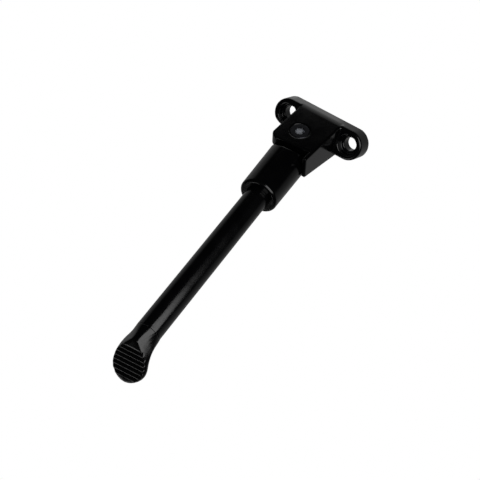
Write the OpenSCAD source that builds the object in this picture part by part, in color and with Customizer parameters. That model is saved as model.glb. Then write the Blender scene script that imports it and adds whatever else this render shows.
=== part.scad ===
// Folding kickstand of an electric scooter, in millimetres.
// The flat mounting face looks up at z = 0, and the leg hangs below it and leans outward along +y.
// The origin lies on the mounting face, half way between the two fixing holes, which lie along x.

/* [Flange] */
// Distance between the two fixing holes
hole_spacing = 42; // [36:0.5:50]
// Radius of the rounded flange ends
ear_r = 8.9; // [8:0.1:11]
// Thickness of the flange ends
ear_t = 10.2; // [8:0.1:13]
// Radius of the fixing holes
hole_r = 4.0; // [3:0.1:4.5]
// Radius of the recess for a bolt head
recess_r = 6.0; // [5:0.1:6.8]
// Depth of the recess for a bolt head
recess_depth = 3.9; // [2:0.1:5]
// Rounding along the lower edge of the flange
flange_edge_r = 1.2; // [0.4:0.1:2]

/* [Clevis block] */
// Outward lean of the block and the leg, in degrees
lean = 27.3; // [15:0.1:35]
// Front face of the block, ahead of the plane of the leg
block_front = 11.8; // [10:0.1:14]
// Right side of the block
block_right = 13.4; // [12:0.1:16]
// Height of the front cheek to the left of the pivot
cheek_left = 12.0; // [11.5:0.1:14]
// Distance from the pivot down to the lower edge of the cheeks
cheek_bottom = 11.6; // [11:0.1:13]
// Rounding of the free corner of the front cheek
cheek_corner_r = 4.4; // [3:0.1:6]
// Rounding of the outer edges of the front face
edge_r = 1; // [0.3:0.1:2]
// Blend between the flange side and the front face
front_blend_r = 9; // [4:0.5:14]
// Thickness of the wall that stops the leg
wall_t = 2.3; // [1.5:0.1:3]
// How far the stop wall reaches down the block
wall_end = 38.3; // [34:0.1:42]
// Radius of the rear cheek about the pivot
rear_r = 11.4; // [9:0.1:12]
// Back face of the rear cheek, behind the plane of the leg
rear_back = 11.8; // [10:0.1:14]
// Fillet where the block meets the flange ends
root_fillet_r = 1.6; // [0.8:0.1:2]
// How far the block reaches back past the flange
root_overhang = 1.7; // [0.5:0.1:3]
// Distance down the block where the stop wall leaves the root
wall_start = 10; // [6:0.5:14]
// Back edge of the stop wall where it leaves the root
wall_back = 8.3; // [6:0.1:10]
// Back edge of the stop wall at its end
wall_end_back = 2.2; // [0:0.1:5]

/* [Pivot] */
// Place of the pivot along the flange
pivot_x = -2.9; // [-5:0.1:0]
// Distance of the pivot down the block
pivot_z = 22.5; // [21.5:0.1:26]
// Radius of the thread of the pivot screw
screw_r = 3; // [2.5:0.1:3.5]
// Radius of the screw head
head_r = 5.8; // [5:0.1:6.5]
// Height of the screw head
head_h = 3.3; // [2.5:0.1:4]
// Rounding of the screw head
head_edge_r = 0.6; // [0.2:0.1:1]
// Hexagon socket, across flats
socket_af = 5; // [4:0.5:5]
// Depth of the hexagon socket
socket_depth = 2.4; // [1.5:0.1:2.8]
// Lock nut, across flats
nut_af = 10; // [8:0.5:11]
// Height of the lock nut
nut_h = 4.6; // [3:0.1:5.5]
// Height of the round collar that holds the locking ring of the nut
nut_collar_h = 1.3; // [0.8:0.1:2]
// Outer radius of the clamped cam sleeve
sleeve_r = 6.2; // [5.5:0.1:7]
// Depth of the flats on the cam sleeve
flat_depth = 0.8; // [0.4:0.05:1]
// Length of the flats along the sleeve
flat_w = 5.6; // [5:0.1:6.4]
// Thickness of the thrust washers
washer_t = 0.5; // [0.3:0.05:0.8]
// Outer radius of the thrust washers
washer_r = 9.6; // [8:0.1:10.4]

/* [Leg head] */
// Lean of the leg towards the stop wall, in degrees
splay = 6.8; // [0:0.1:10]
// Turn of the leg from deployed to folded, in degrees
fold_angle = 86; // [70:1:88]
// Thickness of the tongue
tongue_t = 8; // [6:0.1:9]
// Radius of the eye of the tongue
eye_r = 10.8; // [9.5:0.1:11.2]
// Radius of the collar at its upper end
collar_top_r = 11.75; // [11.3:0.05:12]
// Radius of the collar at its lower end
collar_bottom_r = 11.3; // [10.5:0.05:12]
// Distance from the pivot to the lower end of the collar
collar_end = 47; // [42:0.5:60]
// Distance from the pivot to the flat rim of the collar
collar_top = 12; // [11.9:0.1:14]
// Rounding of the lower rim of the collar
rim_r = 1.3; // [0.5:0.1:2]
// Rounding of the upper rim of the collar
top_rim_r = 0.7; // [0.3:0.1:1.2]
// Depth of the socket that holds the rod
socket_l = 17; // [12:0.5:20]

/* [Leg rod and foot] */
// Radius of the rod
rod_r = 6.85; // [6:0.05:8]
// Distance from the pivot to the start of the foot
foot_start = 150; // [120:1:200]
// Distance from the pivot to the bend of the foot
foot_bend_l = 170.8; // [150:0.1:215]
// Turn of the sole against the rod, in degrees
toe_bend = 62.7; // [40:0.1:70]
// Radius of the bend
bend_r = 10; // [8:0.5:16]
// Length of the sole beyond the bend
toe_l = 18; // [12:0.1:30]
// Width of the sole
sole_w = 19.3; // [16:0.1:26]
// Thickness of the sole
sole_t = 4.1; // [3:0.1:6]
// Length over which the rod flattens into the sole
taper_l = 22; // [15:1:35]
// Distance from the start of the foot to where it starts to widen
widen_start = 6; // [0:0.5:10]
// Length over which the foot widens
widen_l = 23; // [15:1:30]
// How flat the two slanted faces beside the heel are
facet_share = 0.75; // [0:0.05:0.95]
// Length over which the sole widens from the heel
heel_l = 6.8; // [4:0.1:10]
// Share of the width that the crest of the neck keeps flat
crest_w = 0.08; // [0.05:0.01:0.2]
// Share of the width that the sole takes beyond the heel
sole_flat = 0.96; // [0.8:0.01:0.98]
// Length of the rounded tip
tip_l = 9.5; // [5:0.5:12]
// Step where the forged foot meets the rod
neck_step = 0.08; // [0.05:0.01:0.2]
// Squareness of the sole edge
sole_square = 2.5; // [0:0.1:4]
// Distance between the ribs of the sole
rib_pitch = 2.5; // [1.6:0.05:3]
// Width of the ribs
rib_w = 1.2; // [0.8:0.1:1.5]
// Place of the first rib, before the bend of the sole
rib_lead = 1.6; // [0:0.1:3]
// Depth of the grooves between the ribs
groove_depth = 0.7; // [0.3:0.1:1.2]

/* [Detent] */
// Radius of the plunger
plunger_r = 2.5; // [2:0.1:2.7]
// Radius of the spring chamber
chamber_r = 5; // [4.5:0.1:5.5]
// Length of the plunger stem above its shoulder
stem_l = 9.5; // [8:0.1:11]
// Thickness of the plunger shoulder
shoulder_t = 1.6; // [1:0.1:2.5]
// Radius of the spring guide on the plunger
guide_r = 3; // [2:0.1:3.2]
// Length of the spring guide on the plunger
guide_l = 7; // [4:0.5:9]
// Wire radius of the detent spring
wire_r = 0.55; // [0.4:0.05:0.7]
// Number of turns of the detent spring
spring_turns = 6; // [4:1:8]
// Radius of the cross pin that holds the rod
pin_r = 1.5; // [1:0.1:2]

/* [Hidden] */
$fn = 64;
// Gap between turning or sliding faces
run_gap = 0.05;
// Gap between loose faces
loose_gap = 0.3;
over = 1;
big = 120;
tongue_h = tongue_t / 2;
slot_h = tongue_h + washer_t + run_gap * 2;
slot_r = eye_r + 0.5;
wall_in = block_right - wall_t;
block_left = pivot_x - cheek_left;
corner_x = cheek_corner_r - cheek_left;
corner_z = (cheek_bottom - cheek_corner_r - corner_x * sin(splay)) / cos(splay);
corner_s = corner_x * cos(splay) - corner_z * sin(splay);
shoulder_r = norm([corner_x, corner_z]) + cheek_corner_r + loose_gap;
socket_top = collar_end - socket_l;
plunger_tip = sleeve_r + run_gap;
chamber_top = plunger_tip + stem_l;
half_gap = hole_spacing / 2;
root_back = ear_r + root_overhang;
spring_r = chamber_r - loose_gap - wire_r;
lift_gap = flat_depth + loose_gap;
pin_z = collar_end - socket_l / 2;

// The block frame has x along the flange, y towards the screw head and z down the block.
module block_frame() { rotate([180 + lean, 0, 0]) children(); }
module pivot_frame() { block_frame() translate([pivot_x, 0, pivot_z]) children(); }
module leg_frame() { pivot_frame() rotate([0, splay, 0]) children(); }

// A round piece along the pivot axis, between two places on that axis
module along_pivot(r, y0, y1) { translate([0, y1, 0]) rotate([90, 0, 0]) cylinder(r = r, h = y1 - y0); }

// Sheet of the side view, drawn in y and z and extruded along x
module side_sheet(x0, x1) { translate([x0, 0, 0]) rotate([90, 0, 90]) linear_extrude(x1 - x0) children(); }

// Sheet of the front view, drawn in x and z and extruded along y
module front_sheet(y0, y1) { translate([0, y1, 0]) rotate([90, 0, 0]) linear_extrude(y1 - y0) children(); }

function arc(c, r, a0, a1, n) = [for (i = [0:n]) c + r * [cos(a0 + (a1 - a0) * i / n), sin(a0 + (a1 - a0) * i / n)]];

// Points of the side view: the flange side and the front face meet in a wide blend.
function flange_point(y, depth) = [-y * cos(lean) + depth * sin(lean), y * sin(lean) + depth * cos(lean)];
blend_z = (block_front * cos(lean) - ear_r) / sin(lean) + front_blend_r * tan(lean / 2);
front_arc = arc([block_front - front_blend_r, blend_z], front_blend_r, -lean, 0, 8);

module flange_end(x) {
    translate([x, 0, 0])
        rotate_extrude()
            polygon(concat([[0, -ear_t], [0, 0], [ear_r, 0]],
                arc([ear_r - flange_edge_r, flange_edge_r - ear_t], flange_edge_r, 0, -90, 6)));
}

module flange_bar() {
    rotate([90, 0, 90])
        linear_extrude(hole_spacing, center = true)
            polygon(concat([[-ear_r, 0], [ear_r, 0]],
                arc([ear_r - flange_edge_r, flange_edge_r - ear_t], flange_edge_r, 0, -90, 6),
                arc([flange_edge_r - ear_r, flange_edge_r - ear_t], flange_edge_r, -90, -180, 6)));
}

// Back edge that the solid root and the stop wall share
function back_edge(z) = -wall_back + (wall_back - wall_end_back) * (z - wall_start) / (wall_end - wall_start);

module block_sides() {
    side_sheet(block_left, block_right)
        polygon(concat([flange_point(root_back, 0), flange_point(-ear_r, 0)], front_arc,
            [[block_front, pivot_z], [back_edge(pivot_z), pivot_z]]));
    side_sheet(wall_in, block_right)
        polygon([[back_edge(wall_start), wall_start], [block_front, wall_start],
            [block_front, wall_end], [back_edge(wall_end), wall_end]]);
}

module front_outline() {
    intersection() {
        union() {
            translate([block_left, 0])
                square([block_right - block_left, pivot_z + corner_z]);
            translate([pivot_x + corner_x, pivot_z + corner_z])
                circle(cheek_corner_r);
            translate([pivot_x, pivot_z])
                rotate(-splay)
                    translate([corner_s, 0])
                        square([big, cheek_bottom]);
        }
        translate([block_left, pivot_z - cheek_left])
            square([block_right - block_left, big]);
    }
}

// Waste beside a round of the given radius, with the sharp corner at the origin
module round_waste(r) {
    difference() {
        translate([-r, -r])
            square(r + over);
        translate([-r, -r])
            circle(r);
    }
}

module front_edge_waste() {
    // Left edge of the front face
    translate([block_left, block_front, -over])
        linear_extrude(pivot_z + corner_z + over)
            mirror([1, 0])
                round_waste(edge_r);
    translate([pivot_x, block_front, pivot_z]) {
        translate([corner_x, 0, corner_z])
            rotate([90, splay - 90, 0])
                rotate_extrude(angle = 90 + splay)
                    translate([cheek_corner_r, 0])
                        mirror([0, 1])
                            round_waste(edge_r);
        rotate([0, splay, 0])
            translate([corner_s, 0, cheek_bottom])
                rotate([90, 0, 90])
                    linear_extrude(wall_in - pivot_x - corner_s)
                        round_waste(edge_r);
    }
}

module front_cheek() {
    front_sheet(slot_h, block_front)
        front_outline();
}

module rear_cheek() {
    pivot_place = [pivot_x, 0, pivot_z];
    translate(pivot_place)
        along_pivot(rear_r, -rear_back, -slot_h);
    side_sheet(pivot_x - rear_r, pivot_x + rear_r)
        polygon([flange_point(root_back, over), [-rear_back, pivot_z], [-slot_h, pivot_z], flange_point(0, over)]);
}

module root_fillets() {
    reach = ear_r - flange_edge_r;
    for (s = [[block_right, 1], [block_left, -1]])
        translate([s[0], -reach, -ear_t])
            rotate([-90, 0, 0])
                linear_extrude(reach * 2)
                    difference() {
                        translate([s[1] > 0 ? 0 : -root_fillet_r, 0])
                            square(root_fillet_r);
                        translate([s[1] * root_fillet_r, root_fillet_r])
                            circle(root_fillet_r);
                    }
}

module slot() {
    translate([pivot_x, 0, pivot_z]) {
        along_pivot(slot_r, -slot_h, slot_h);
        translate([-big, -slot_h, -slot_r])
            cube([big, slot_h * 2, big]);
        translate([-over, -slot_h, 0])
            cube([wall_in - pivot_x + over, slot_h * 2, big]);
    }
}

module bracket() {
    color("#0b0b0c")
        difference() {
            union() {
                flange_end(half_gap);
                flange_end(-half_gap);
                flange_bar();
                root_fillets();
                block_frame() {
                    block_sides();
                    front_cheek();
                    rear_cheek();
                }
            }
            block_frame() {
                slot();
                front_edge_waste();
            }
            pivot_frame() {
                along_pivot(head_r + 0.1, block_front - head_h, block_front + over);
                along_pivot(screw_r + 0.1, -rear_back - over, block_front);
                rotate([90, 0, 0])
                    translate([0, 0, rear_back - nut_h])
                        cylinder(d = (nut_af + 0.2) / cos(30), h = nut_h + over, $fn = 6);
            }
            for (x = [-half_gap, half_gap])
                translate([x, 0, -ear_t - over]) {
                    cylinder(r = hole_r, h = ear_t + over * 2);
                    cylinder(r = recess_r, h = recess_depth + over);
                }
        }
}

module pivot_screw() {
    color("#8c8f94")
        pivot_frame()
            difference() {
                union() {
                    translate([0, block_front - head_h, 0])
                        rotate([-90, 0, 0])
                            rotate_extrude()
                                polygon(concat([[0, head_h], [0, 0]],
                                    [[head_r, 0]],
                                    arc([head_r - head_edge_r, head_h - head_edge_r], head_edge_r, 0, 90, 4)));
                    along_pivot(screw_r, -rear_back + 0.2, block_front - head_h);
                }
                translate([0, block_front + over, 0])
                    rotate([90, 0, 0])
                        cylinder(d = socket_af / cos(30), h = socket_depth + over, $fn = 6);
            }
}

module lock_nut() {
    color("#9a9da1")
        pivot_frame()
            difference() {
                union() {
                    rotate([90, 0, 0])
                        translate([0, 0, rear_back - nut_h])
                            cylinder(d = nut_af / cos(30), h = nut_h - nut_collar_h, $fn = 6);
                    along_pivot(nut_af / 2 - 0.2, -rear_back, nut_h - rear_back);
                }
                along_pivot(screw_r + 0.02, -rear_back - over, 0);
            }
}

module cam_sleeve() {
    reach = sleeve_r - flat_depth;
    color("#b8892f")
        pivot_frame()
            difference() {
                along_pivot(sleeve_r, run_gap - slot_h, slot_h - run_gap);
                along_pivot(screw_r + 0.05, -slot_h - over, slot_h + over);
                for (turn = [splay, splay - fold_angle])
                    rotate([0, turn, 0])
                        translate([-sleeve_r, -flat_w / 2, reach])
                            cube([sleeve_r * 2, flat_w, sleeve_r]);
            }
}

module thrust_washer(y0) {
    color("#e6e2d6")
        pivot_frame()
            difference() {
                along_pivot(washer_r, y0, y0 + washer_t);
                along_pivot(sleeve_r + run_gap, y0 - over, y0 + washer_t + over);
            }
}

module front_washer() { thrust_washer(tongue_h + run_gap); }
module rear_washer() { thrust_washer(-tongue_h - run_gap - washer_t); }

module collar() {
    top = arc([collar_top_r - top_rim_r, collar_top + top_rim_r], top_rim_r, -90, 0, 4);
    bottom = arc([collar_bottom_r - rim_r, collar_end - rim_r], rim_r, 0, 90, 6);
    difference() {
        rotate_extrude()
            polygon(concat([[0, collar_end], [0, collar_top]], top, bottom));
        along_pivot(shoulder_r, -big, big);
    }
}

module tongue() {
    front_sheet(-tongue_h, tongue_h) {
        circle(eye_r);
        translate([-eye_r, 0])
            square([eye_r * 2, shoulder_r + 2]);
    }
}

module leg_head() {
    color("#0b0b0c")
        leg_frame()
            difference() {
                union() {
                    collar();
                    tongue();
                }
                along_pivot(sleeve_r + run_gap, -big, big);
                cylinder(r = plunger_r + run_gap, h = collar_end);
                translate([0, 0, chamber_top])
                    cylinder(r = chamber_r, h = collar_end);
                translate([0, 0, socket_top])
                    cylinder(r = rod_r + run_gap, h = collar_end);
                translate([0, 0, pin_z])
                    along_pivot(pin_r + run_gap, -big, rod_r);
            }
}

// Foot: the round section flattens, widens and turns along the path.
function ease(t) = let (c = min(1, max(0, t))) c * c * (3 - 2 * c);
neck_r = rod_r + neck_step;
foot_steps = 24;
tip_steps = 8;
tip_sweep = 86;
bend_start = foot_bend_l - bend_r * tan(toe_bend / 2);
bend_s = bend_start - foot_start;
bend_l = bend_r * toe_bend * PI / 180;
path_l = bend_s + bend_l + toe_l - bend_r * tan(toe_bend / 2);
function path_turn(s) = min(1, max(0, (s - bend_s) / bend_l)) * toe_bend;
function path_point(s) =
    let (turn = path_turn(s), first = min(s, bend_s), last = max(0, s - bend_s - bend_l))
    [-bend_r * (1 - cos(turn)) - last * sin(turn), foot_start + first + bend_r * sin(turn) + last * cos(turn)];
function tip_share(s) = sqrt(max(0, 1 - pow(max(0, (s - path_l + tip_l) / tip_l), 2)));
function half_w(s) = (neck_r + (sole_w / 2 - neck_r) * ease((s - widen_start) / widen_l)) * tip_share(s);

// The front stays straight down to the plane of the sole, and the back flattens towards it.
function front_h(s) =
    let (at = path_point(s), turn = path_turn(s), rise = at[0] * cos(toe_bend) + (at[1] - foot_bend_l) * sin(toe_bend))
    min((neck_r - at[0]) / cos(turn), (sole_t / 2 - rise) / cos(toe_bend - turn));
function back_h(s) = neck_r + (sole_t / 2 - neck_r) * ease(s / taper_l);

// Place on the path where the straight front meets the plane of the sole
front_reach = neck_r + bend_r;
sole_reach = bend_r + sole_t / 2;
heel_turn = atan2((sole_reach - front_reach * cos(toe_bend)) / sin(toe_bend), front_reach);
heel_s = bend_s + bend_r * heel_turn * PI / 180;

// The front half goes from round to two slanted flats, and the sole widens between them.
function flat_share(s) = let (t = (s - widen_start) / (heel_s - widen_start)) facet_share * ease(t);
function sole_share(s) =
    let (t = min(1, max(0, (s - heel_s) / heel_l)))
    crest_w + (sole_flat - crest_w) * pow(sin(90 * t), 0.8);
function front_point(t, s) =
    let (slope = min(1, t * 2), run = max(0, t * 2 - 1), share = flat_share(s))
    [(1 - share) * cos(90 * t) + share * (1 - slope * (1 - sole_share(s))) * (1 - run),
        (1 - share) * sin(90 * t) + share * slope];
function back_point(t, s) =
    let (power = 2 / (2 + sole_square * ease(s / taper_l)))
    [pow(cos(90 * t), power), -pow(sin(90 * t), power)];
function foot_ring(s, sides) =
    let (at = path_point(s), turn = path_turn(s))
    [for (k = [0:sides - 1])
        let (quarter = 4 * k / sides, side = quarter > 1 && quarter < 3 ? -1 : 1, front = quarter <= 2,
            t = abs((quarter + 1) % 2 - 1), place = front ? front_point(t, s) : back_point(t, s),
            h = place[1] * (front ? front_h(s) : back_h(s)))
        [half_w(s) * side * place[0], at[0] + h * cos(turn), at[1] + h * sin(turn)]];

module foot_solid() {
    sides = 36;
    tip_s = path_l - tip_l;
    stations = concat([for (i = [0:foot_steps - 1]) tip_s * i / foot_steps],
        [for (i = [0:tip_steps]) tip_s + tip_l * sin(tip_sweep * i / tip_steps)]);
    steps = len(stations) - 1;
    rings = [for (s = stations) foot_ring(s, sides)];
    faces = concat([[for (k = [0:sides - 1]) k]],
        [for (i = [0:steps - 1], k = [0:sides - 1])
            let (a = i * sides + k, b = i * sides + (k + 1) % sides) [a, a + sides, b + sides, b]],
        [[for (k = [sides - 1:-1:0]) steps * sides + k]]);
    polyhedron([for (ring = rings) each ring], faces);
}

module foot() {
    difference() {
        foot_solid();
        translate([0, 0, foot_bend_l])
            rotate([toe_bend, 0, 0])
                for (z = [rib_w / 2 - rib_lead:rib_pitch:toe_l - rib_pitch])
                    translate([-sole_w, sole_t / 2 - groove_depth, z])
                        cube([sole_w * 2, big, rib_pitch - rib_w]);
    }
}

module leg_rod() {
    color("#0b0b0c")
        leg_frame()
            difference() {
                union() {
                    translate([0, 0, socket_top + loose_gap])
                        cylinder(r = rod_r, h = foot_start - socket_top);
                    foot();
                }
                translate([0, 0, pin_z])
                    along_pivot(pin_r + run_gap, -big, rod_r - 1);
            }
}

module rod_pin() {
    color("#a8abb0")
        leg_frame()
            translate([0, 0, pin_z])
                along_pivot(pin_r, 0.6 - collar_bottom_r, rod_r - 1.3);
}

module plunger() {
    color("#b4b7bb")
        leg_frame() {
            translate([0, 0, plunger_tip])
                cylinder(r = plunger_r, h = stem_l + shoulder_t);
            translate([0, 0, chamber_top + lift_gap])
                cylinder(r = chamber_r - loose_gap, h = shoulder_t);
            translate([0, 0, chamber_top + lift_gap])
                cylinder(r = guide_r, h = guide_l);
        }
}

module detent_spring() {
    top = chamber_top + lift_gap + shoulder_t + wire_r + run_gap;
    bottom = socket_top + loose_gap - wire_r - run_gap;
    steps = 14;
    sides = 6;
    count = spring_turns * steps;
    rings = [for (i = [0:count]) [for (k = [0:sides - 1])
        let (turn = 360 * i / steps, r = spring_r + wire_r * cos(360 * k / sides))
        [r * cos(turn), r * sin(turn), top + (bottom - top) * i / count + wire_r * sin(360 * k / sides)]]];
    faces = concat([[for (k = [sides - 1:-1:0]) k]],
        [for (i = [0:count - 1], k = [0:sides - 1])
            let (a = i * sides + k, b = i * sides + (k + 1) % sides) [b, b + sides, a + sides, a]],
        [[for (k = [0:sides - 1]) count * sides + k]]);
    color("#c2c5c9")
        leg_frame()
            polyhedron([for (ring = rings) each ring], faces);
}

bracket();
pivot_screw();
lock_nut();
cam_sleeve();
front_washer();
rear_washer();
leg_head();
leg_rod();
rod_pin();
plunger();
detent_spring();
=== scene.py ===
import math
import bpy
from mathutils import Matrix, Vector


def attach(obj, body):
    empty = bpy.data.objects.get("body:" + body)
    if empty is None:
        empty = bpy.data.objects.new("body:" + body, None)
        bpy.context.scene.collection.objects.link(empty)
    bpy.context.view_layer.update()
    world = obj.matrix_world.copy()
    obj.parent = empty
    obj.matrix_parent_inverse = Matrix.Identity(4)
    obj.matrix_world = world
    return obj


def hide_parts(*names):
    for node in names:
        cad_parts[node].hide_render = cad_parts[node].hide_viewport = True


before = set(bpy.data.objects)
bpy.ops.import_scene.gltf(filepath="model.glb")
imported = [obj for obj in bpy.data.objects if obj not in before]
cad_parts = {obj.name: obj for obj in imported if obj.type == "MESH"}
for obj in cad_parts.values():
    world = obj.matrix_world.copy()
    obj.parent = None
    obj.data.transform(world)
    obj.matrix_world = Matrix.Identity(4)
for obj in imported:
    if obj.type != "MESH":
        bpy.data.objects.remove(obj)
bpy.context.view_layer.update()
bpy.context.scene.view_settings.view_transform = "Standard"
mm = 0.001


def hexLinear(code):
    values = [int(code[i:i + 2], 16) / 255 for i in (1, 3, 5)]
    return tuple(v / 12.92 if v <= 0.04045 else ((v + 0.055) / 1.055) ** 2.4 for v in values) + (1.0,)


def addNode(tree, kind, settings=None, links=None):
    node = tree.nodes.new(kind)
    for key, value in (settings or {}).items():
        if key in node.inputs.keys() or isinstance(key, int):
            node.inputs[key].default_value = value
        else:
            setattr(node, key, value)
    for key, source in (links or {}).items():
        tree.links.new(source, node.inputs[key])
    return node


def newMaterial(name):
    material = bpy.data.materials.new(name)
    material.use_nodes = True
    tree = material.node_tree
    tree.nodes.clear()
    output = addNode(tree, "ShaderNodeOutputMaterial")
    shader = addNode(tree, "ShaderNodeBsdfPrincipled")
    tree.links.new(shader.outputs["BSDF"], output.inputs["Surface"])
    place = addNode(tree, "ShaderNodeTexCoord").outputs["Object"]
    return material, tree, shader, place


# two tones that change in soft clouds, for every finish
def cloudTint(tree, shader, place, deep, light, cloudSize, detail):
    cloud = addNode(tree, "ShaderNodeTexNoise", {"Scale": 1 / (cloudSize * mm), "Detail": detail}, {"Vector": place})
    tint = addNode(tree, "ShaderNodeMix", {"data_type": "RGBA", 6: hexLinear(deep), 7: hexLinear(light)},
                   {0: cloud.outputs["Fac"]})
    tree.links.new(tint.outputs[2], shader.inputs["Base Color"])
    return cloud


# gloss black coat, sprayed and baked: it has flowed a little, so lights lie on it as soft bands with low waves
blackCoat = {"deep": "#020203", "light": "#060607", "cloudSize": 9, "waveSize": 2.2, "grainSize": 0.35,
             "grainShare": 0.15, "waveHeight": 0.01, "ior": 1.5}


def glossBlackCoat(name, rough):
    material, tree, shader, place = newMaterial(name)
    cloud = cloudTint(tree, shader, place, blackCoat["deep"], blackCoat["light"], blackCoat["cloudSize"], 3.0)
    gloss = addNode(tree, "ShaderNodeMapRange",
                    {"From Min": 0.3, "From Max": 0.7, "To Min": rough[0], "To Max": rough[1]},
                    {"Value": cloud.outputs["Fac"]})
    tree.links.new(gloss.outputs["Result"], shader.inputs["Roughness"])
    wave = addNode(tree, "ShaderNodeTexNoise", {"Scale": 1 / (blackCoat["waveSize"] * mm), "Detail": 1.0},
                   {"Vector": place})
    grain = addNode(tree, "ShaderNodeTexNoise", {"Scale": 1 / (blackCoat["grainSize"] * mm), "Detail": 2.0},
                    {"Vector": place})
    height = addNode(tree, "ShaderNodeMath", {"operation": "MULTIPLY_ADD", 1: blackCoat["grainShare"]},
                     {0: grain.outputs["Fac"], 2: wave.outputs["Fac"]})
    bump = addNode(tree, "ShaderNodeBump", {"Strength": 1.0, "Distance": blackCoat["waveHeight"] * mm},
                   {"Height": height.outputs["Value"]})
    tree.links.new(bump.outputs["Normal"], shader.inputs["Normal"])
    shader.inputs["IOR"].default_value = blackCoat["ior"]
    return material


def bareMetal(name, deep, light, rough, grainSize):
    material, tree, shader, place = newMaterial(name)
    cloud = cloudTint(tree, shader, place, deep, light, grainSize, 4.0)
    gloss = addNode(tree, "ShaderNodeMapRange", {"To Min": rough[0], "To Max": rough[1]},
                    {"Value": cloud.outputs["Fac"]})
    tree.links.new(gloss.outputs["Result"], shader.inputs["Roughness"])
    bump = addNode(tree, "ShaderNodeBump", {"Strength": 1.0, "Distance": 0.004 * mm}, {"Height": cloud.outputs["Fac"]})
    tree.links.new(bump.outputs["Normal"], shader.inputs["Normal"])
    shader.inputs["Metallic"].default_value = 1.0
    return material


castBlack = glossBlackCoat("glossBlackCoatOnCastAluminium", (0.14, 0.2))
rodBlack = glossBlackCoat("glossBlackCoatOnForgedRod", (0.17, 0.23))  # a little duller, so its bands have softer ends
screwSteel = bareMetal("machinedScrewSteel", "#9a9ca0", "#c2c4c7", (0.25, 0.4), 0.6)  # cut bright, glints in patches
zincSteel = bareMetal("brightZincSteel", "#8f949a", "#b6bac0", (0.3, 0.45), 0.8)  # plated: pale, faintly cloudy
bronze = bareMetal("machinedBronze", "#8a6a35", "#b08a4a", (0.3, 0.45), 0.6)  # turned and oiled: a warm sheen
springSteel = bareMetal("drawnSpringSteel", "#8c8f93", "#a5a8ac", (0.25, 0.35), 0.5)  # drawn wire: smooth grey gloss
blackSteel = bareMetal("blackenedScrewSteel", "#3e3f43", "#4c4d52", (0.28, 0.4), 0.5)  # oiled oxide: dark, dull shine
nylon, tree, shader, place = newMaterial("mouldedNylon")  # moulded without a dye: milky and nearly matt
cloudTint(tree, shader, place, "#d9d5c8", "#e8e4d8", 1.5, 3.0)
shader.inputs["Roughness"].default_value = 0.5

finishes = {"bracket": castBlack, "pivot_screw": screwSteel, "lock_nut": zincSteel, "cam_sleeve": bronze,
            "front_washer": nylon, "rear_washer": nylon, "leg_head": castBlack, "leg_rod": rodBlack,
            "rod_pin": zincSteel, "plunger": screwSteel, "detent_spring": springSteel}
for name, material in finishes.items():
    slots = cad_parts[name].material_slots
    for slot in slots:
        slot.material = material
    if not slots:
        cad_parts[name].data.materials.append(material)
print("finishes on the frame are set")

# directions of the clevis block and of the leg, from the fold joint
blockFront = Vector((0, -0.888617, -0.45865))
blockDown = Vector((0, 0.45865, -0.888617))
pivot = Vector((-2.9, 10.3196, -19.9939)) * mm
splay = math.radians(6.8)
legDown = blockDown * math.cos(splay) + Vector((1, 0, 0)) * math.sin(splay)


def axesAt(xAxis, yAxis, zAxis, place):
    return Matrix((
        (xAxis.x, yAxis.x, zAxis.x, place.x),
        (xAxis.y, yAxis.y, zAxis.y, place.y),
        (xAxis.z, yAxis.z, zAxis.z, place.z),
        (0, 0, 0, 1)))


def pickOnly(piece):
    bpy.ops.object.select_all(action="DESELECT")
    bpy.context.view_layer.objects.active = piece
    piece.select_set(True)


def copyOf(nodeName, pieceName):
    piece = bpy.data.objects.new(pieceName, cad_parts[nodeName].data.copy())
    bpy.context.scene.collection.objects.link(piece)
    pickOnly(piece)
    bpy.ops.object.mode_set(mode="EDIT")
    bpy.ops.mesh.select_all(action="SELECT")
    bpy.ops.mesh.remove_doubles(threshold=0.002 * mm)
    bpy.ops.mesh.dissolve_limited(angle_limit=math.radians(0.5))
    bpy.ops.object.mode_set(mode="OBJECT")
    bpy.ops.mesh.customdata_custom_splitnormals_clear()
    return piece


def applyModifier(piece, kind, settings):
    modifier = piece.modifiers.new(kind.lower(), kind)
    for key, value in settings.items():
        setattr(modifier, key, value)
    bpy.ops.object.modifier_apply(modifier=modifier.name)


def cutAway(piece, tool):
    pickOnly(piece)
    applyModifier(piece, "BOOLEAN", {"operation": "DIFFERENCE", "object": tool, "solver": "EXACT"})
    bpy.data.objects.remove(tool)


def selectPoints(piece, test):  # leaves edit mode on
    bpy.ops.object.mode_set(mode="EDIT")
    bpy.ops.mesh.select_mode(type="VERT")
    bpy.ops.mesh.select_all(action="DESELECT")
    bpy.ops.object.mode_set(mode="OBJECT")
    for point in piece.data.vertices:
        point.select = test(point.co)
    bpy.ops.object.mode_set(mode="EDIT")


# a casting has no sharp edge: the shape is cut into small even faces, and these are drawn towards each other
def castSkin(piece, sizes, shape=None):
    applyModifier(piece, "REMESH", {"mode": "VOXEL", "voxel_size": sizes["grid"] * mm, "use_smooth_shade": True})
    if shape:
        shape(piece)
    if sizes["coat"]:
        applyModifier(piece, "DISPLACE", {"strength": sizes["coat"] * mm, "mid_level": 0.0})
    applyModifier(piece, "SMOOTH", {"factor": 0.5, "iterations": sizes["turns"]})
    applyModifier(piece, "DECIMATE", {"ratio": sizes["keep"]})
    bpy.ops.object.shade_smooth()


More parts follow.
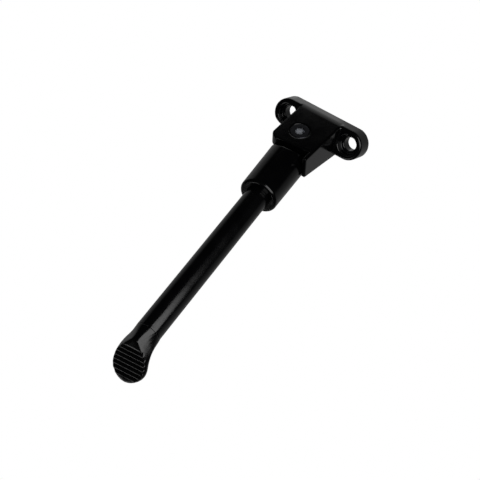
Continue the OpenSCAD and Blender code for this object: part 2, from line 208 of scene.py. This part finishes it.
# flange and clevis block: lengths along the flange are left and right, the others run to the front and down the block
bracketCasting = {"grid": 0.32, "turns": 8, "keep": 0.5, "coat": 0.1, "wallEnd": 38.3, "wallLonger": 1.1,
                  "left": -14.9, "right": 13.4, "blendR": 9.0, "blendFront": 2.8, "blendDown": 5.644,
                  "blendTop": 1.516, "wasteFrom": 5.0, "wasteTo": 14.0}
bracket = copyOf("bracket", "bracketCasting")
selectPoints(bracket, lambda at: at.dot(blockDown) > (bracketCasting["wallEnd"] - 0.1) * mm)
bpy.ops.transform.translate(value=blockDown * bracketCasting["wallLonger"] * mm)
bpy.ops.object.mode_set(mode="OBJECT")
# the lower edge of the flange gives way to a wide blend over the width of the block
bpy.ops.object.select_all(action="DESELECT")
bpy.ops.mesh.primitive_cylinder_add(vertices=128, radius=bracketCasting["blendR"] * mm, depth=60 * mm,
                                    rotation=(0, math.pi / 2, 0))
blend = bpy.context.object
bpy.ops.object.transform_apply(location=True, rotation=True, scale=True)
bpy.ops.object.select_all(action="DESELECT")
bpy.ops.mesh.primitive_cube_add(size=1)
waste = bpy.context.object
corners = ((bracketCasting["left"], bracketCasting["right"]),
           (bracketCasting["wasteFrom"], bracketCasting["wasteTo"]),
           (bracketCasting["blendTop"] - bracketCasting["blendDown"], 0))
spans = [(high - low) * mm for low, high in corners]
middles = [(high + low) / 2 * mm for low, high in corners]
waste.data.transform(Matrix.Translation(middles) @ Matrix.Diagonal(spans + [1]))
cutAway(waste, blend)
blendPlace = (blockFront * bracketCasting["blendFront"] + blockDown * bracketCasting["blendDown"]) * mm
waste.data.transform(axesAt(Vector((1, 0, 0)), blockFront, blockDown, blendPlace))
cutAway(bracket, waste)
castSkin(bracket, bracketCasting)
bracket.data.materials.clear()
bracket.data.materials.append(castBlack)
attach(bracket, "bracket")
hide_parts("bracket")
print("bracket casting is made")

legCasting = {"grid": 0.32, "turns": 6, "keep": 0.5, "coat": 0, "collarCoat": 0.15, "collarFrom": 9.0}


def coatCollar(piece):  # the coat lies on the outside alone, and the bores stay free
    normals = [tuple(point.normal) for point in piece.data.vertices]
    for point, normal in zip(piece.data.vertices, normals):
        along = (point.co - pivot).dot(legDown)
        if (point.co - pivot - legDown * along).length > legCasting["collarFrom"] * mm:
            point.co += Vector(normal) * legCasting["collarCoat"] * mm


legHead = copyOf("leg_head", "legCasting")
castSkin(legHead, legCasting, coatCollar)
legHead.data.materials.clear()
legHead.data.materials.append(castBlack)
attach(legHead, "leg")
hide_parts("leg_head")
print("leg casting is made")

# lengths run down the leg from the pivot, those of the ribs down the sole from the bend
rodForging = {"grid": 0.27, "turns": 3, "keep": 0.6, "coat": 0.2, "neckFrom": 149.5, "neckTo": 157.6, "neckR": 6.86,
              "seam": 158.6, "seamHalf": 0.16, "seamDepth": 0.16, "bend": 170.8, "soleTilt": 62.7, "soleTop": 2.05,
              "soleSide": 0.6, "ribStart": -2.2, "ribEnd": 15.6, "ribPitch": 2.5, "ribSlope": 1.2, "ribDepth": 0.95,
              "ribReach": 0.8}


def seamAndRibs(piece):  # a rib falls away to the tip, where it catches the light, and rises steeply before the next
    tilt = math.radians(rodForging["soleTilt"])
    outward = blockFront * math.cos(tilt) + legDown * math.sin(tilt)
    tipward = legDown * math.cos(tilt) - blockFront * math.sin(tilt)
    sideways = outward.cross(tipward)
    bend = pivot + legDown * rodForging["bend"] * mm
    slope, rise = rodForging["ribSlope"], rodForging["ribPitch"] - rodForging["ribSlope"]
    normals = [tuple(point.normal) for point in piece.data.vertices]
    for point, normal in zip(piece.data.vertices, normals):
        if abs((point.co - pivot).dot(legDown) - rodForging["seam"] * mm) < rodForging["seamHalf"] * mm:
            point.co -= Vector(normal) * rodForging["seamDepth"] * mm
        high = (point.co - bend).dot(outward) / mm
        reach = (point.co - bend).dot(tipward) / mm
        onSole = abs(Vector(normal).dot(sideways)) <= rodForging["soleSide"] \
            and high >= rodForging["soleTop"] - rodForging["ribReach"]
        if onSole and rodForging["ribStart"] < reach < rodForging["ribEnd"]:
            step = (reach - rodForging["ribStart"]) % rodForging["ribPitch"]
            fall = step / slope if step < slope else (rodForging["ribPitch"] - step) / rise
            point.co += outward * (rodForging["soleTop"] - rodForging["ribDepth"] * fall - high) * mm


legRod = copyOf("leg_rod", "rodForging")
for point in legRod.data.vertices:  # the rod runs into the foot without a step
    along = (point.co - pivot).dot(legDown)
    if rodForging["neckFrom"] * mm < along < rodForging["neckTo"] * mm:
        middle = pivot + legDown * along
        away = point.co - middle
        if away.length > rodForging["neckR"] * mm:
            point.co = middle + away.normalized() * rodForging["neckR"] * mm
castSkin(legRod, rodForging, seamAndRibs)
legRod.data.materials.clear()
legRod.data.materials.append(rodBlack)
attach(legRod, "leg")
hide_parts("leg_rod")
print("leg rod and foot are made")

# screw: blackened head with a rounded rim, a hexagon socket given bright bare steel as a painted highlight of its lit
# walls, and a shank
screwShape = {"headR": 5.8, "headH": 3.3, "rim": 0.55, "socketR": 2.887, "socketDepth": 2.4, "mouth": 0.3,
              "glintDepth": 3.0, "shankR": 3.0, "shankL": 20.1, "shankEnd": 0.5, "top": 11.8}
bpy.ops.object.select_all(action="DESELECT")
bpy.ops.mesh.primitive_cylinder_add(vertices=72, radius=screwShape["headR"] * mm, depth=screwShape["headH"] * mm,
                                    location=(0, 0, -screwShape["headH"] / 2 * mm))
screw = bpy.context.object
screw.name = "pivotScrewHead"
bpy.ops.object.transform_apply(location=True, rotation=True, scale=True)
selectPoints(screw, lambda at: at.z < -0.5 * screwShape["headH"] * mm)
bpy.ops.mesh.inset(thickness=(screwShape["headR"] - screwShape["shankR"]) * mm)
bpy.ops.mesh.extrude_region_move(TRANSFORM_OT_translate={"value": (0, 0, -screwShape["shankL"] * mm)})
bpy.ops.mesh.bevel(offset=screwShape["shankEnd"] * mm, segments=2)
selectPoints(screw, lambda at: at.z > -0.01 * mm)
bpy.ops.mesh.bevel(offset=screwShape["rim"] * mm, segments=4)
bpy.ops.object.mode_set(mode="OBJECT")
bpy.ops.object.select_all(action="DESELECT")
bpy.ops.mesh.primitive_cylinder_add(vertices=6, radius=screwShape["socketR"] * mm,
                                    depth=2 * screwShape["socketDepth"] * mm)
key = bpy.context.object
bpy.ops.object.transform_apply(location=True, rotation=True, scale=True)
cutAway(screw, key)
selectPoints(screw, lambda at: at.z > -0.01 * mm and math.hypot(at.x, at.y) < (screwShape["socketR"] + 0.1) * mm)
bpy.ops.mesh.bevel(offset=screwShape["mouth"] * mm, segments=2)
bpy.ops.object.mode_set(mode="OBJECT")
screw.data.materials.append(blackSteel)
screw.data.materials.append(screwSteel)
for face in screw.data.polygons:  # inside the socket, bright bare steel is a painted highlight for its lit walls
    corners = [screw.data.vertices[i].co for i in face.vertices]
    reach = max(math.hypot(corner.x, corner.y) for corner in corners)
    # socket faces down to this depth get the bright steel: a painted highlight
    paintedGlint = reach < (screwShape["socketR"] + 0.05) * mm and face.center.z > -screwShape["glintDepth"] * mm
    face.material_index = 1 if paintedGlint else 0
screw.data.transform(axesAt(Vector((1, 0, 0)), blockFront.cross(Vector((1, 0, 0))), blockFront,
                            pivot + blockFront * screwShape["top"] * mm))
bpy.ops.object.mode_set(mode="EDIT")
bpy.ops.mesh.select_all(action="SELECT")
bpy.ops.mesh.normals_make_consistent(inside=False)
bpy.ops.object.mode_set(mode="OBJECT")
bpy.ops.object.shade_smooth_by_angle(angle=math.radians(35))
applyModifier(screw, "WEIGHTED_NORMAL", {"keep_sharp": True})
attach(screw, "bracket")
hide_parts("pivot_screw")
print("pivot screw is made")

# camera: long lens, from below and to the right of the leg
right = Vector((0.79438181, -0.2985873, 0.52896424))
up = Vector((-0.46895683, -0.85495275, 0.22166479))
back = Vector((0.38605314, -0.42414787, -0.81918347))
cameraData = bpy.data.cameras.new("camera")
cameraData.lens = 98.93
cameraData.sensor_width = 36
cameraData.shift_x = -0.00104
cameraData.shift_y = 0.00104
camera = bpy.data.objects.new("camera", cameraData)
bpy.context.scene.collection.objects.link(camera)
camera.matrix_world = axesAt(right, up, back, Vector((0.28903, -0.25487, -0.67130)))
bpy.context.scene.camera = camera
print("camera is set")

# surroundings: dim in front of the part, a little lighter behind it, white where the camera looks past it
studio = {"front": 0.004, "sides": 0.13, "behind": 0.24, "backdrop": 1.0, "lean": 0.13,
          "sidesFrom": 0.16, "sidesTo": 0.34, "behindFrom": 0.3, "behindTo": 0.7,
          "backdropFrom": 0.975, "backdropTo": 0.997}
world = bpy.data.worlds.new("studio")
bpy.context.scene.world = world
world.use_nodes = True
tree = world.node_tree
tree.nodes.clear()
output = addNode(tree, "ShaderNodeOutputWorld")
direction = addNode(tree, "ShaderNodeTexCoord").outputs["Generated"]
leanWay = (studio["lean"] * right - back).normalized()
facing = addNode(tree, "ShaderNodeVectorMath", {"operation": "DOT_PRODUCT", 1: tuple(-back)}, {0: direction})
leaning = addNode(tree, "ShaderNodeVectorMath", {"operation": "DOT_PRODUCT", 1: tuple(leanWay)}, {0: direction})
sidesZone = addNode(tree, "ShaderNodeMapRange",
                    {"From Min": studio["sidesFrom"], "From Max": studio["sidesTo"], "To Min": studio["front"],
                     "To Max": studio["sides"], "interpolation_type": "SMOOTHSTEP"},
                    {"Value": leaning.outputs["Value"]})
behindZone = addNode(tree, "ShaderNodeMapRange",
                     {"From Min": studio["behindFrom"], "From Max": studio["behindTo"], "To Min": 0.0,
                      "To Max": studio["behind"] - studio["sides"]},
                     {"Value": facing.outputs["Value"]})
backdropZone = addNode(tree, "ShaderNodeMapRange",
                       {"From Min": studio["backdropFrom"], "From Max": studio["backdropTo"], "To Min": 0.0,
                        "To Max": studio["backdrop"] - studio["behind"]},
                       {"Value": facing.outputs["Value"]})
room = addNode(tree, "ShaderNodeMath", {"operation": "ADD"},
               {0: sidesZone.outputs["Result"], 1: behindZone.outputs["Result"]})
roomAndBackdrop = addNode(tree, "ShaderNodeMath", {"operation": "ADD"},
                          {0: room.outputs["Value"], 1: backdropZone.outputs["Result"]})
rays = addNode(tree, "ShaderNodeLightPath")
level = addNode(tree, "ShaderNodeMix", {"data_type": "FLOAT", 3: 1.0},
                {0: rays.outputs["Is Camera Ray"], 2: roomAndBackdrop.outputs["Value"]})
light = addNode(tree, "ShaderNodeBackground", {"Color": (1, 1, 1, 1)}, {"Strength": level.outputs[0]})
tree.links.new(light.outputs["Background"], output.inputs["Surface"])

# floor, far below the camera, which looks up: the camera sees the paper pale, and the part mirrors it dark
paper = {"radius": 3.0, "height": -0.75, "deep": "#e9e9e8", "light": "#efefee", "mirrored": "#3c3c3c", "pale": 0.55}
bpy.ops.object.select_all(action="DESELECT")
bpy.ops.mesh.primitive_circle_add(vertices=96, radius=paper["radius"], fill_type="NGON",
                                  location=(0, 0, paper["height"]))
floor = bpy.context.object
floor.name = "floor"
floorMaterial, tree, shader, place = newMaterial("palePaperFloor")  # pressed paper: matt, with faint pale clouds
cloud = addNode(tree, "ShaderNodeTexNoise", {"Scale": 40.0}, {"Vector": place})
tint = addNode(tree, "ShaderNodeMix", {"data_type": "RGBA", 6: hexLinear(paper["deep"]), 7: hexLinear(paper["light"])},
               {0: cloud.outputs["Fac"]})
rays = addNode(tree, "ShaderNodeLightPath")
shade = addNode(tree, "ShaderNodeMix", {"data_type": "RGBA", 6: hexLinear(paper["mirrored"])},
                {0: rays.outputs["Is Camera Ray"], 7: tint.outputs[2]})
tree.links.new(shade.outputs[2], shader.inputs["Base Color"])
shader.inputs["Roughness"].default_value = 0.9
pale = addNode(tree, "ShaderNodeMath", {"operation": "MULTIPLY", 1: paper["pale"]}, {0: rays.outputs["Is Camera Ray"]})
shader.inputs["Emission Color"].default_value = (1, 1, 1, 1)
tree.links.new(pale.outputs["Value"], shader.inputs["Emission Strength"])
floor.data.materials.append(floorMaterial)
print("studio is set")

# places and sizes in mm, the level is what the part mirrors
lamps = {
    "footSoftbox": {"centre": (187, -51, -236), "target": (36, 113, -187), "size": (360, 205), "level": 2.4,
                    "along": (0.118, 0.455, -0.882)},
    "flangeStrip": {"centre": (-130, -162, 136), "target": (-10, -98, -38), "size": (130, 300), "level": 0.33,
                    "along": (1, 0, 0)},
    "ribLight": {"centre": (-45, 304, -281), "target": (12, 85, -175), "size": (130, 200), "level": 1.2,
                 "along": (1, 0, 0)}}
for name, lamp in lamps.items():
    data = bpy.data.lights.new(name, "AREA")
    data.shape = "RECTANGLE"
    data.size = lamp["size"][0] * mm
    data.size_y = lamp["size"][1] * mm
    data.energy = lamp["level"] * math.pi * data.size * data.size_y
    softbox = bpy.data.objects.new(name, data)
    bpy.context.scene.collection.objects.link(softbox)
    zAxis = (Vector(lamp["centre"]) - Vector(lamp["target"])).normalized()
    along = Vector(lamp["along"])
    xAxis = (along - along.dot(zAxis) * zAxis).normalized()
    softbox.matrix_world = axesAt(xAxis, zAxis.cross(xAxis), zAxis, Vector(lamp["centre"]) * mm)
    softbox.visible_camera = False
print("lamps are set")
